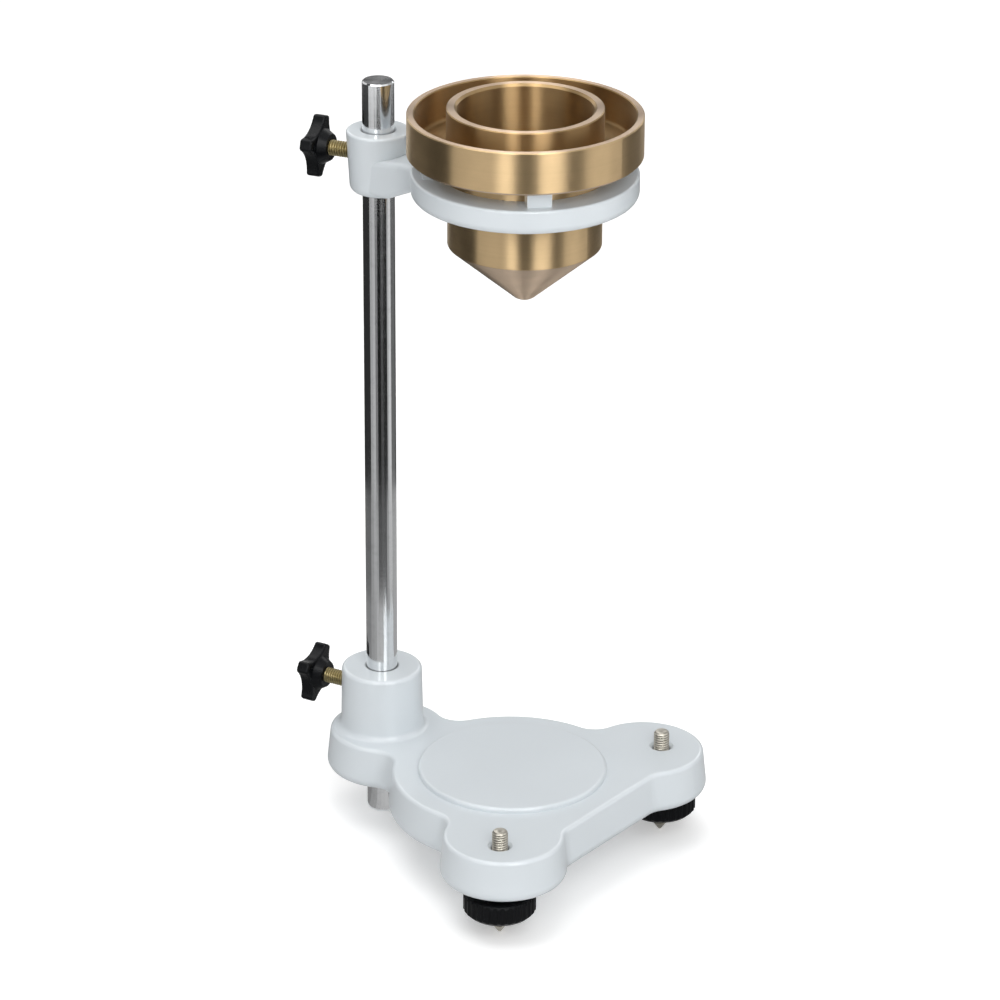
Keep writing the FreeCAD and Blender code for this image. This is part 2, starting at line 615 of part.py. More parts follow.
def make_levelling_foot(side, sign):
    """Pointed levelling screw and the fluted wheel on it."""
    across = f"{sign}{FOOT_SPREAD}"
    screw = new_body(f"{side}_levelling_screw", x=FOOT_REACH, y=across)
    radius = "Sizes.thread_diameter / 2"
    length = f"({PLATE_TOP} + Sizes.levelling_stand)"
    turned(screw, f"{side}_levelling_stud", [
        ("0", "0"),
        ("Sizes.point_flat_radius", "0"),
        (radius, "Sizes.levelling_point"),
        (radius, f"{length} - Sizes.screw_chamfer"),
        (f"{radius} - Sizes.screw_chamfer", length),
        ("0", length),
    ])
    wheel = new_body(f"{side}_levelling_wheel", x=FOOT_REACH, y=across,
                     z="Sizes.wheel_lift")
    rim = "Sizes.wheel_diameter / 2"
    dish = f"{rim} - Sizes.wheel_rim_width"
    floor = "Sizes.wheel_height - Sizes.wheel_recess_depth"
    hub_top = "Sizes.wheel_height + Sizes.wheel_hub_rise"
    turned(wheel, f"{side}_wheel_blank", [
        (SCREW_HOLE, "0"),
        (f"{rim} - Sizes.wheel_under_chamfer", "0"),
        (rim, "Sizes.wheel_under_chamfer"),
        (rim, "Sizes.wheel_height - Sizes.wheel_top_chamfer"),
        (f"{rim} - Sizes.wheel_top_chamfer", "Sizes.wheel_height"),
        (dish, "Sizes.wheel_height"),
        (dish, floor),
        ("Sizes.wheel_hub_radius", floor),
        ("Sizes.wheel_hub_radius", hub_top),
        (SCREW_HOLE, hub_top),
    ])
    flute = new_sketch(wheel, "XY_Plane", f"{side}_flute_outline")
    add_circle(flute, f"{rim} + Sizes.wheel_flute_radius - Sizes.wheel_flute_depth", "0",
               "Sizes.wheel_flute_radius")
    cut = pocket(wheel, flute, f"{side}_flute", "Sizes.wheel_height", reverse=True)
    repeat_round(wheel, flute, cut, f"{side}_flutes", "Sizes.wheel_flutes")


def make_clamp(side, height):
    """Clamp screw that presses on the column, and its lobed knob."""
    heading = f"Sizes.{side}_clamp_heading"
    outwards = Rotation(Vector(0, 0, 1), size(f"{side}_clamp_heading"))
    outwards = outwards.multiply(Rotation(Vector(0, 1, 0), -90))
    standoff = f"Sizes.{side}_knob_standoff"
    screw = new_body(f"{side}_clamp_screw", f"-{SCREW_START} * cos({heading})",
                     f"-{SCREW_START} * sin({heading})", height, outwards)
    radius = "Sizes.thread_diameter / 2"
    length = f"{standoff} + Sizes.stud_in_knob - {SCREW_START}"
    turned(screw, f"{side}_clamp_stud", [
        ("0", "0"),
        (f"{radius} - Sizes.screw_chamfer", "0"),
        (radius, "Sizes.screw_chamfer"),
        (radius, f"{length} - Sizes.screw_chamfer"),
        (f"{radius} - Sizes.screw_chamfer", length),
        ("0", length),
    ])
    knob = new_body(f"{side}_clamp_knob", f"-{standoff} * cos({heading})",
                    f"-{standoff} * sin({heading})", height, outwards)
    star = new_sketch(knob, "XY_Plane", f"{side}_star_outline", "Sizes.collar_length")
    add_circle(star, "0", "0", "Sizes.knob_radius")
    pad(knob, star, f"{side}_star", "Sizes.knob_thickness")
    hollow = new_sketch(knob, "XY_Plane", f"{side}_hollow_outline", "Sizes.collar_length",
                        turn=f"Sizes.{side}_knob_angle")
    add_circle(hollow, "Sizes.hollow_reach", "0", "Sizes.hollow_radius")
    cut = pocket(knob, hollow, f"{side}_hollow", "Sizes.knob_thickness", reverse=True)
    repeat_round(knob, hollow, cut, f"{side}_hollows", "Sizes.knob_lobes")
    dress(knob, "Fillet", f"{side}_lobe_corners", "Sizes.knob_corner_round", upright)
    low = size("collar_length")
    high = low + size("knob_thickness")
    dress(knob, "Fillet", f"{side}_star_edges", "Sizes.knob_edge_round",
          lambda e: flat_at(e, low) or flat_at(e, high))
    turned(knob, f"{side}_collar", [
        ("0", "0"),
        ("Sizes.collar_face_radius", "0"),
        ("Sizes.collar_root_radius", "Sizes.collar_length"),
        ("0", "Sizes.collar_length"),
    ])
    bore = new_sketch(knob, "XY_Plane", f"{side}_knob_bore_outline")
    add_circle(bore, "0", "0", SCREW_HOLE)
    pocket(knob, bore, f"{side}_knob_bore", "Sizes.stud_in_knob + Sizes.seat_clearance",
           reverse=True)


def check_and_write():
    """Stop on any failed object, then write one file for each sub-part, without the helpers."""
    doc.recompute()
    for thing in doc.Objects:
        if "Invalid" in thing.State or "Error" in thing.State:
            raise RuntimeError(f"{thing.Label} failed: {thing.State}")
    os.makedirs("parts", exist_ok=True)
    for body in doc.findObjects("PartDesign::Body"):
        if any(user.isDerivedFrom("PartDesign::Boolean") for user in body.InList):
            continue
        if body.Shape.isNull() or not body.Shape.isValid():
            raise RuntimeError(f"{body.Label} has no valid shape")
        body.Shape.exportStep(f"parts/{body.Label}.step")


make_column()
make_base()
make_bracket()
make_cup()
make_jet()
make_gallery()
make_levelling_foot("front", "-")
make_levelling_foot("rear", "")
make_clamp("column", f"{PLATE_TOP} + Sizes.column_clamp_rise")
make_clamp("bracket", f"{HUB_LIFT} + Sizes.bracket_clamp_rise")
check_and_write()
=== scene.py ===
"""Flow cup viscometer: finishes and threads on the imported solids, and the studio round them."""
import json
import math

import bpy
from bpy.props import FloatProperty, FloatVectorProperty, IntProperty, PointerProperty
from mathutils import Matrix, Vector


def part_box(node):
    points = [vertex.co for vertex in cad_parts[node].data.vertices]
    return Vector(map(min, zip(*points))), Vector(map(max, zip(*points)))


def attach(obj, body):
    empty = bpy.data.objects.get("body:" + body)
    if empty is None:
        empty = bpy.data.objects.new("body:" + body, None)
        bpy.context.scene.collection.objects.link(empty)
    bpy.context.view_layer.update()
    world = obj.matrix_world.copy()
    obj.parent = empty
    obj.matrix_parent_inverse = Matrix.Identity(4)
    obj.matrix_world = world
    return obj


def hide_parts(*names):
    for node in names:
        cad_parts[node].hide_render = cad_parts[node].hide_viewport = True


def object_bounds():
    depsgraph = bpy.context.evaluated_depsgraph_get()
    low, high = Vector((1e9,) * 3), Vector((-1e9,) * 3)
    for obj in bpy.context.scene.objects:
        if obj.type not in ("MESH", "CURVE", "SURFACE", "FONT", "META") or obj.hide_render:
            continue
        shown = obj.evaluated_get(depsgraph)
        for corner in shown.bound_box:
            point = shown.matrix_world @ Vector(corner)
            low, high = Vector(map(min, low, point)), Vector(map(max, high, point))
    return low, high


bl_info = {
    "name": "Flow cup viscometer",
    "version": (1, 0, 0),
    "blender": (4, 5, 0),
    "location": "3D View > Sidebar > Viscometer",
    "description": "Finishes, threads and studio for a flow cup viscometer on its levelling stand",
    "category": "Object",
}

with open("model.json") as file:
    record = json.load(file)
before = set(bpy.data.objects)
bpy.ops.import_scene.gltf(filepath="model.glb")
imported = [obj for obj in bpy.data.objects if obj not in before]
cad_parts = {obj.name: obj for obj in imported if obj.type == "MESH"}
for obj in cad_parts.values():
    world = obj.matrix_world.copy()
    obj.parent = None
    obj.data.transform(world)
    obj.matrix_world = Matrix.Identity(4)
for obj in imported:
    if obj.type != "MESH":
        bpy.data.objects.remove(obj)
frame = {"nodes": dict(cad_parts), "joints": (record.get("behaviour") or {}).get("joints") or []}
CAD_LOW, CAD_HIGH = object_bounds()
NODES = frame["nodes"]
MM = 0.001
UP = Vector((0.0, 0.0, 1.0))

# Overflow gallery: depth of its channel and thickness of its wall.
CHANNEL_DEPTH = 12.8 * MM
GALLERY_WALL = 2.7 * MM

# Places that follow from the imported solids.
CUP_LOW, CUP_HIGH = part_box("cup_body")
GALLERY_LOW, GALLERY_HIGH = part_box("overflow_gallery")
CUP_AXIS = (CUP_LOW + CUP_HIGH) / 2
COLUMN_AXIS = Vector((0.0, 0.0, 0.0))
CHANNEL_FLOOR = GALLERY_HIGH.z - CHANNEL_DEPTH
CHANNEL_RADIUS = (GALLERY_HIGH.x - GALLERY_LOW.x) / 2 - GALLERY_WALL

# Noise in the finishes: features in a metre, octaves, and how rough the finer ones are.
ENAMEL_MOTTLE = (22.0, 1.0, 0.5)
ENAMEL_PATCHES = (40.0, 1.0, 0.5)
ENAMEL_PEEL = (420.0, 1.0, 0.5)
BRASS_TARNISH = (55.0, 4.0, 0.6)
CONE_MOTTLE = (160.0, 3.0, 0.5)
CHROME_WEAR = (240.0, 5.0, 0.7)
THREAD_STAIN = (700.0, 3.0, 0.6)
BLACK_DUST = (1900.0, 2.0, 0.5)
BLACK_PATCHES = (260.0, 3.0, 0.5)
BLACK_GRAIN = (2600.0, 2.0, 0.5)
FLOOR_CLOUD = (3.0, 2.0, 0.5)

# Levels of a noise: the range that it mostly keeps to, and where tarnish, wear and dust show.
USUAL = (0.3, 0.7)
TARNISHED = (0.45, 0.75)
WORN = (0.5, 0.8)
DUSTY = (0.62, 0.76)

# Marks of the lathe and the grinder: their spacing, octaves, and how rough the finer ones are.
FINE_MARKS = 0.16 * MM
COARSE_MARKS = 1.3 * MM
GROUND_MARKS = 0.22 * MM
MARK_OCTAVES = 2.0
MARK_FINENESS = 0.6

# Relief of the finishes: depth and strength.
PEEL_RELIEF = (0.04 * MM, 0.15)
TURNED_RELIEF = (0.004 * MM, 0.30)
GROUND_RELIEF = (0.006 * MM, 0.25)
STAIN_RELIEF = (0.02 * MM, 0.3)
GRAIN_RELIEF = (0.02 * MM, 0.4)

# Tones of the finishes, as multiples of their colours, from one kind of spot to the other.
ENAMEL_TONES = (0.985, 1.01)
# Painted shade in the mouths of the bores.
BORE_SHADE_TONE = 0.10
BRASS_TONES = (0.94, 1.06)
TARNISH_TONE = 0.72
CONE_TONES = (0.86, 1.12)
CHROME_TONES = (1.0, 0.86)
# Painted shade on the rod's faced end, standing in for its dark reflections.
CHROME_END_SHADE = 0.76
# Worn bright crests, and painted shade in the thread roots.
THREAD_TONES = (1.08, 0.30)

# How much of the colour the painted shade in bore mouths, tarnish, the painted shade in thread
# roots and dust take over.
BORE_SHADE_COVER = 0.85
TARNISH_COVER = 0.35
ROOT_SHADE_COVER = (0.55, 1.0)
DUST_COVER = 0.25

# Share of the dust that lies on what faces down or sideways, and on what faces up.
DUST_LYING = (0.15, 1.0)

# Roughness of the finishes, from their smoothest to their roughest spots.
ENAMEL_ROUGHNESS = (0.29, 0.33)
BRASS_ROUGHNESS = (0.32, 0.44)
CONE_ROUGHNESS = 0.74
CHROME_ROUGHNESS = (0.06, 0.12)
CHROME_END_ROUGHNESS = (0.18, 0.24)
THREAD_ROUGHNESS = (0.29, 0.44)
KNOB_ROUGHNESS = (0.20, 0.36)
WHEEL_ROUGHNESS = (0.30, 0.46)

# Shine of the finishes: clear coat, reflections drawn out across the marks, gloss of the black.
COAT_WEIGHT = 0.4
COAT_ROUGHNESS = 0.18
BRASS_STREAKS = 0.98
CHROME_STREAKS = 0.9
QUARTER_TURN = 0.25
BLACK_SPECULAR = 0.13

# How far up a surface faces where a rim or rod end, the cone, or dust starts and is full.
RIM_FACING = (0.85, 0.95)
CONE_FACING = (-0.25, -0.35)
DUST_FACING = (-0.2, 0.9)

# How far out from the cup's axis a surface faces where an inner wall starts and is full.
INNER_FACING = (-0.1, -0.3)

# Fades between finishes: at the channel's edges, and below the gallery's rim.
EDGE_FADE = 0.5 * MM
RIM_START = 1.5 * MM
RIM_FULL = 0.5 * MM

# Painted shade in the mouth of a bore, from the radius of what stands in it.
BORE_SHADE_FULL = 0.15 * MM
BORE_SHADE_END = 0.9 * MM

# Flats of the thread, as shares of the way across its flank, and the angle that stays sharp.
ROOT_FLAT = 0.10
CREST_FLAT = 0.85
SHARP_ANGLE = math.radians(50)

# Cards seen only in reflections, from the far side round past the camera to the far side again.
# Each pair is the angle in degrees where a card ends, counted from the camera, and its brightness.
CUP_CARDS = ((-168, 0.9), (-156, 0.15), (-142, 0.50), (-74, 0.12), (-26, 1.25), (-11, 2.00),
             (13, 0.10), (39, 1.90), (58, 0.26), (104, 1.35), (142, 0.12), (156, 0.40),
             (168, 0.15), (180, 0.9))
HIGH_CARDS = ((-168, 0.10), (-142, 2.0), (-110, 0.8), (-74, 0.08), (-26, 0.8), (-11, 6.4),
              (13, 0.08), (37, 6.0), (58, 0.3), (104, 0.9), (142, 0.5), (168, 2.0), (180, 0.10))
FAR_ROD_CARDS = ((-170, 0.6), (-70, 0.03), (-50, 0.42), (-30, 0.50), (-14, 0.20), (8, 0.01),
                 (26, 0.07), (56, 0.02), (68, 0.46), (88, 0.68), (140, 0.15), (170, 0.05),
                 (180, 0.6))
MIDDLE_ROD_CARDS = ((-76, 0.16), (-52, 0.34), (-32, 0.44), (-16, 0.40), (8, 0.10), (46, 0.12),
                    (62, 0.38), (90, 0.55), (180, 0.42))
NEAR_ROD_CARDS = ((-80, 0.26), (-52, 0.35), (-34, 0.38), (-8, 0.50), (16, 0.54), (38, 0.56),
                  (62, 0.32), (92, 0.29), (180, 0.42))
FIRST_ANGLE = -180
CARD_STEP = 4
CARD_LIFT = 0.5 * MM

# Radii where the three rings of cards on the floor round the column start, and the last one ends.
NEAR_START = 0.007
MIDDLE_START = 0.20
FAR_START = 0.31
FAR_END = 0.88

# Cards round the cup: those on the floor, with the wall at their far edge, and the high ones.
CUP_START = 0.90
WALL_RADIUS = 2.4
WALL_TOP = 0.9
HIGH_RADIUS = 1.5
HIGH_START = 0.65
HIGH_TOP = 2.4

# Floor: its width, the gap under the object, and its greys as seen and as it lights the object.
FLOOR_WIDTH = 12.0
FLOOR_GAP = 0.05 * MM
SEEN_GREYS = (0.955, 0.965)
LIGHTING_GREY = 0.80

# Light that tops up the seen floor, near the object and far from it, and how far off those are.
TOP_UP = (0.24, 0.6)
TOP_UP_REACH = (0.6, 2.4)

# Lamps: their places from the middle of the floor, and their widths.
TOP_LAMP_HEIGHT = 1.7
TOP_LAMP_LEFT = 0.2
TOP_LAMP_WIDTH = 1.3
FRONT_LAMP_BACK = 1.3
FRONT_LAMP_RIGHT = 0.35
FRONT_LAMP_UP = 0.35
FRONT_LAMP_WIDTH = 1.0


class ThreadSizes(bpy.types.PropertyGroup):
    """Screw thread on the clamp and levelling screws."""

    pitch: FloatProperty(name="Pitch", description="Advance in one turn", default=1.0 * MM,
                         unit="LENGTH", precision=5)
    depth: FloatProperty(name="Depth", description="Crest to root, on the radius",
                         default=0.54 * MM, unit="LENGTH", precision=5)
    chamfer: FloatProperty(name="Chamfer", description="Turned end of a screw",
                           default=0.7 * MM, unit="LENGTH", precision=5)
    steps_round: IntProperty(name="Steps round", description="Mesh steps in one turn",
                             default=36, min=12)
    steps_along: IntProperty(name="Steps along", description="Mesh steps in one pitch",
                             default=8, min=4)
    point: FloatProperty(name="Point", description="Turned point of a levelling screw",
                         default=3.4 * MM, unit="LENGTH", precision=5)
    point_flat: FloatProperty(name="Point flat", description="Radius of the blunted tip",
                              default=0.6 * MM, unit="LENGTH", precision=5)


class FinishColours(bpy.types.PropertyGroup):
    """Colours of the finishes and of the painted shade inside the cup, as linear values."""

    enamel: FloatVectorProperty(name="Enamel", description="Cool light grey enamel",
                                subtype="COLOR", default=(0.65, 0.695, 0.725))
    brass: FloatVectorProperty(name="Brass", description="Turned walls of the cup",
                               subtype="COLOR", default=(0.62, 0.45, 0.25))
    brass_rim: FloatVectorProperty(name="Brass rim", description="Faced rims of cup and gallery",
                                   subtype="COLOR", default=(0.74, 0.57, 0.42))
    # Painted shade: a darkening tint on the walls inside the cup and channel.
    brass_inside_shade: FloatVectorProperty(name="Brass inside", subtype="COLOR",
                                      description="Tint of the walls in the cup and channel",
                                      default=(0.73, 0.68, 0.60))
    brass_cone: FloatVectorProperty(name="Brass cone", description="Matt outer cone",
                                    subtype="COLOR", default=(0.565, 0.45, 0.343))
    chrome: FloatVectorProperty(name="Chrome", description="Plated column", subtype="COLOR",
                                default=(0.78, 0.79, 0.80))
    zinc: FloatVectorProperty(name="Yellow zinc", description="Plated clamp screws",
                              subtype="COLOR", default=(0.44, 0.365, 0.19))
    nickel: FloatVectorProperty(name="Nickel", description="Plated levelling screws",
                                subtype="COLOR", default=(0.60, 0.57, 0.50))
    black: FloatVectorProperty(name="Black", description="Moulded knobs and wheels",
                               subtype="COLOR", default=(0.0035, 0.004, 0.0048))
    dust: FloatVectorProperty(name="Dust", description="Dust on the knobs and wheels",
                              subtype="COLOR", default=(0.06, 0.06, 0.065))


class StudioSizes(bpy.types.PropertyGroup):
    """Camera and light round the object."""

    look_at: FloatVectorProperty(name="Look at", description="Point in the middle of the view",
                                 subtype="TRANSLATION", default=(0.06234, -0.00678, 0.15091))
    azimuth: FloatProperty(name="Azimuth", description="Camera round the object, from -Y",
                           subtype="ANGLE", default=math.radians(37.34))
    elevation: FloatProperty(name="Elevation", description="Camera above the horizon",
                             subtype="ANGLE", default=math.radians(24.21))
    roll: FloatProperty(name="Roll", description="Camera turned about its own axis",
                        subtype="ANGLE", default=math.radians(0.27))
    distance: FloatProperty(name="Distance", description="Camera to the point looked at",
                            unit="LENGTH", default=1.72506)
    lens: FloatProperty(name="Lens", description="Focal length in millimetres",
                        unit="CAMERA", default=167.33)
    ambient: FloatProperty(name="Ambient", description="Light of the room on the object",
                           subtype="FACTOR", default=0.55, min=0.0, max=1.0)
    top_power: FloatProperty(name="Top lamp", description="Power of the lamp overhead",
                             unit="POWER", default=10.8, min=0.0)
    front_power: FloatProperty(name="Front lamp", description="Power of the lamp by the camera",
                               unit="POWER", default=10.0, min=0.0)


def put(tree, kind, settings=None, inputs=None):
    """A shader node with its settings; an input is a plain value or another node's socket."""
    made = tree.nodes.new(kind)
    for name, value in (settings or {}).items():
        setattr(made, name, value)
    for name, value in (inputs or {}).items():
        if isinstance(value, bpy.types.NodeSocket):
            tree.links.new(value, made.inputs[name])
        else:
            made.inputs[name].default_value = value
    return made


def math_node(tree, operation, first, second):
    """The result of one sum on two values or sockets."""
    return put(tree, "ShaderNodeMath", {"operation": operation}, {0: first, 1: second}).outputs[0]


def vector_math(tree, operation, *vectors):
    """The outputs of one sum on vectors."""
    return put(tree, "ShaderNodeVectorMath", {"operation": operation},
               dict(enumerate(vectors))).outputs


def vector_turned(tree, vector, kind, start, end):
    """A vector or normal taken from one set of axes to another."""
    return put(tree, "ShaderNodeVectorTransform",
               {"vector_type": kind, "convert_from": start, "convert_to": end},
               {0: vector}).outputs[0]


def noise(tree, vector, scale, detail, roughness):
    """Grey noise from 0 to 1."""
    made = put(tree, "ShaderNodeTexNoise", None,
               {"Vector": vector, "Scale": scale, "Detail": detail, "Roughness": roughness})
    return made.outputs["Fac"]


def remap(tree, value, low, high, to_low, to_high):
    """A value that goes from one range to another and stays in it."""
    made = put(tree, "ShaderNodeMapRange", {"clamp": True},
               {0: value, 1: low, 2: high, 3: to_low, 4: to_high})
    return made.outputs[0]


def blend(tree, factor, first, second):
    """Two values mixed by a factor."""
    return put(tree, "ShaderNodeMix", {"data_type": "FLOAT"},
               {0: factor, 2: first, 3: second}).outputs[0]


def mix(tree, factor, first, second, way="MIX"):
    """Two colours mixed by a factor."""
    made = put(tree, "ShaderNodeMix", {"data_type": "RGBA", "blend_type": way},
               {0: factor, 6: first, 7: second})
    return made.outputs[2]


def shade(colour, level):
    """A colour made darker or lighter, with its alpha."""
    return tuple(channel * level for channel in colour) + (1.0,)


def grey(level):
    """A neutral colour, with its alpha."""
    return (level, level, level, 1.0)


def tones(tree, factor, colour, levels):
    """One colour mixed from its two tones."""
    return mix(tree, factor, shade(colour, levels[0]), shade(colour, levels[1]))


def new_material(name, metallic):
    """A material, its tree, its shader and the object's own coordinates."""
    made = bpy.data.materials.new(name)
    made.use_nodes = True
    tree = made.node_tree
    shader = tree.nodes["Principled BSDF"]
    shader.inputs["Metallic"].default_value = metallic
    where = tree.nodes.new("ShaderNodeTexCoord").outputs["Object"]
    return made, tree, shader, where


def wire(tree, shader, name, socket):
    """Joins a socket to one of the shader's inputs."""
    tree.links.new(socket, shader.inputs[name])


def bump(tree, shader, height, distance, strength):
    """Gives the shader relief from a height."""
    relief = put(tree, "ShaderNodeBump", None,
                 {"Height": height, "Distance": distance, "Strength": strength})
    wire(tree, shader, "Normal", relief.outputs[0])


def backdrop_rays(tree):
    """1 for the rays that show the background: from the camera, and off or through the object."""
    rays = tree.nodes.new("ShaderNodeLightPath").outputs
    mirrored = math_node(tree, "MAXIMUM", rays["Is Camera Ray"], rays["Is Glossy Ray"])
    return math_node(tree, "MAXIMUM", mirrored, rays["Is Transmission Ray"])


def object_normal(tree):
    """The surface's direction in the object's own axes."""
    normal = tree.nodes.new("ShaderNodeNewGeometry").outputs["True Normal"]
    return vector_turned(tree, normal, "NORMAL", "WORLD", "OBJECT")


def facing_up(tree):
    """How far the surface faces up, from -1 to 1."""
    return put(tree, "ShaderNodeSeparateXYZ", None, {0: object_normal(tree)}).outputs[2]


def facing_out(tree, flat):
    """How far the surface faces along a level vector, from -1 to 1."""
    away = vector_math(tree, "NORMALIZE", flat)[0]
    return vector_math(tree, "DOT_PRODUCT", object_normal(tree), away)["Value"]


def from_axis(tree, where, axis):
    """From an upright axis to a point: the level vector and its length, and the point's height."""
    offset = vector_math(tree, "SUBTRACT", where, (axis.x, axis.y, 0.0))[0]
    parts = put(tree, "ShaderNodeSeparateXYZ", None, {0: offset}).outputs
    flat = put(tree, "ShaderNodeCombineXYZ", None, {0: parts[0], 1: parts[1]}).outputs[0]
    return flat, vector_math(tree, "LENGTH", flat)["Value"], parts[2]


def draw_out(tree, shader, flat, amount):
    """Draws reflections out across marks that run round an upright axis."""
    along_marks = vector_math(tree, "CROSS_PRODUCT", UP, flat)[0]
    wire(tree, shader, "Tangent", vector_turned(tree, along_marks, "VECTOR", "OBJECT", "WORLD"))
    shader.inputs["Anisotropic"].default_value = amount
    shader.inputs["Anisotropic Rotation"].default_value = QUARTER_TURN


def turned_marks(tree, distance, height, spacing):
    """Noise in rings round the axis, as a lathe tool or a grinding wheel leaves them."""
    rings = put(tree, "ShaderNodeCombineXYZ", None, {0: distance, 1: height}).outputs[0]
    return noise(tree, rings, 1.0 / spacing, MARK_OCTAVES, MARK_FINENESS)


def bore_mouth_shade(tree, where, bores):
    """Painted shade in the mouths of upright bores: 1 in them, fading to 0 just outside them."""
    mouth_shade = None
    for axis, radius in bores:
        distance = from_axis(tree, where, axis)[1]
        near = remap(tree, distance, radius + BORE_SHADE_FULL, radius + BORE_SHADE_END, 1.0, 0.0)
        mouth_shade = math_node(tree, "MAXIMUM", mouth_shade, near) if mouth_shade else near
    return mouth_shade


def enamel(name, colour, bores):
    """Glossy enamel over a casting: faint mottle, orange peel and painted shade in the mouths of
    the bores.
    """
    made, tree, shader, where = new_material(name, 0.0)
    mottle = remap(tree, noise(tree, where, *ENAMEL_MOTTLE), *USUAL, 0.0, 1.0)
    # Painted shade: the enamel darkens in the mouths of the bores, where the gap round a rod or
    # screw lies in shade.
    mouth_shade = math_node(tree, "MULTIPLY", bore_mouth_shade(tree, where, bores), BORE_SHADE_COVER)
    tone = tones(tree, mottle, colour, ENAMEL_TONES)
    wire(tree, shader, "Base Color", mix(tree, mouth_shade, tone, shade(colour, BORE_SHADE_TONE)))
    patches = noise(tree, where, *ENAMEL_PATCHES)
    wire(tree, shader, "Roughness", remap(tree, patches, *USUAL, *ENAMEL_ROUGHNESS))
    bump(tree, shader, noise(tree, where, *ENAMEL_PEEL), *PEEL_RELIEF)
    shader.inputs["Coat Weight"].default_value = COAT_WEIGHT
    shader.inputs["Coat Roughness"].default_value = COAT_ROUGHNESS
    return made


def inner_walls(tree, flat, distance, height):
    """Where the painted shade goes: 1 on the walls inside the cup and in the gallery's channel."""
    above_floor = remap(tree, height, CHANNEL_FLOOR - EDGE_FADE, CHANNEL_FLOOR, 0.0, 1.0)
    within_wall = remap(tree, distance, CHANNEL_RADIUS, CHANNEL_RADIUS + EDGE_FADE, 1.0, 0.0)
    in_channel = math_node(tree, "MULTIPLY", above_floor, within_wall)
    inward = remap(tree, facing_out(tree, flat), *INNER_FACING, 0.0, 1.0)
    return math_node(tree, "MAXIMUM", in_channel, inward)


def turned_brass(name, colours):
    """Satin brass: lathe rings, streaked light, tarnish, painted shade on the walls inside the cup
    and channel, pale faced rims and a matt cone.
    """
    made, tree, shader, where = new_material(name, 1.0)
    flat, distance, height = from_axis(tree, where, CUP_AXIS)
    fine = turned_marks(tree, distance, height, FINE_MARKS)
    coarse = turned_marks(tree, distance, height, COARSE_MARKS)
    up = facing_up(tree)
    tarnish = remap(tree, noise(tree, where, *BRASS_TARNISH), *TARNISHED, 0.0, TARNISH_COVER)
    wall = tones(tree, coarse, colours.brass, BRASS_TONES)
    wall = mix(tree, tarnish, wall, shade(colours.brass, TARNISH_TONE))
    # Painted shade: the walls inside the cup and channel are darkened by a tint.
    shaded_inside = inner_walls(tree, flat, distance, height)
    wall = mix(tree, shaded_inside, wall, shade(colours.brass_inside_shade, 1.0), "MULTIPLY")
    top = remap(tree, height, GALLERY_HIGH.z - RIM_START, GALLERY_HIGH.z - RIM_FULL, 0.0, 1.0)
    rim = math_node(tree, "MULTIPLY", remap(tree, up, *RIM_FACING, 0.0, 1.0), top)
    colour = mix(tree, rim, wall, shade(colours.brass_rim, 1.0))
    cone = remap(tree, up, *CONE_FACING, 0.0, 1.0)
    mottled = tones(tree, noise(tree, where, *CONE_MOTTLE), colours.brass_cone, CONE_TONES)
    wire(tree, shader, "Base Color", mix(tree, cone, colour, mottled))
    satin = remap(tree, fine, *USUAL, *BRASS_ROUGHNESS)
    wire(tree, shader, "Roughness", blend(tree, cone, satin, CONE_ROUGHNESS))
    draw_out(tree, shader, flat, BRASS_STREAKS)
    bump(tree, shader, fine, *TURNED_RELIEF)
    return made


def chrome_plate(name, colour):
    """Ground and plated rod: bright, with fine rings, faint wear, and a rougher faced top painted
    darker in place of its dark reflections.
    """
    made, tree, shader, where = new_material(name, 1.0)
    flat, distance, height = from_axis(tree, where, COLUMN_AXIS)
    marks = turned_marks(tree, distance, height, GROUND_MARKS)
    wear = remap(tree, noise(tree, where, *CHROME_WEAR), *WORN, 0.0, 1.0)
    plate = tones(tree, wear, colour, CHROME_TONES)
    end = remap(tree, facing_up(tree), *RIM_FACING, 0.0, 1.0)
    # Painted shade: the faced top is darkened in colour to stand in for the dark reflections it
    # shows.
    wire(tree, shader, "Base Color", mix(tree, end, plate, shade(colour, CHROME_END_SHADE)))
    ground = remap(tree, marks, *USUAL, *CHROME_ROUGHNESS)
    faced = remap(tree, marks, *USUAL, *CHROME_END_ROUGHNESS)
    wire(tree, shader, "Roughness", blend(tree, end, ground, faced))
    draw_out(tree, shader, flat, CHROME_STREAKS)
    bump(tree, shader, marks, *GROUND_RELIEF)
    return made


def plated_thread(name, colour):
    """Plated screw: worn bright crests and painted shade in the roots, made uneven by stain, from
    the mesh's own depth.
    """
    made, tree, shader, where = new_material(name, 1.0)
    depth = put(tree, "ShaderNodeAttribute", {"attribute_name": "root"}).outputs["Fac"]
    stain = noise(tree, where, *THREAD_STAIN)
    # Painted shade: the thread roots are darkened by their depth, made uneven by the stain noise.
    root_shade = math_node(tree, "MULTIPLY", depth, remap(tree, stain, *USUAL, *ROOT_SHADE_COVER))
    wire(tree, shader, "Base Color", tones(tree, root_shade, colour, THREAD_TONES))
    wire(tree, shader, "Roughness", remap(tree, stain, *USUAL, *THREAD_ROUGHNESS))
    bump(tree, shader, stain, *STAIN_RELIEF)
    return made


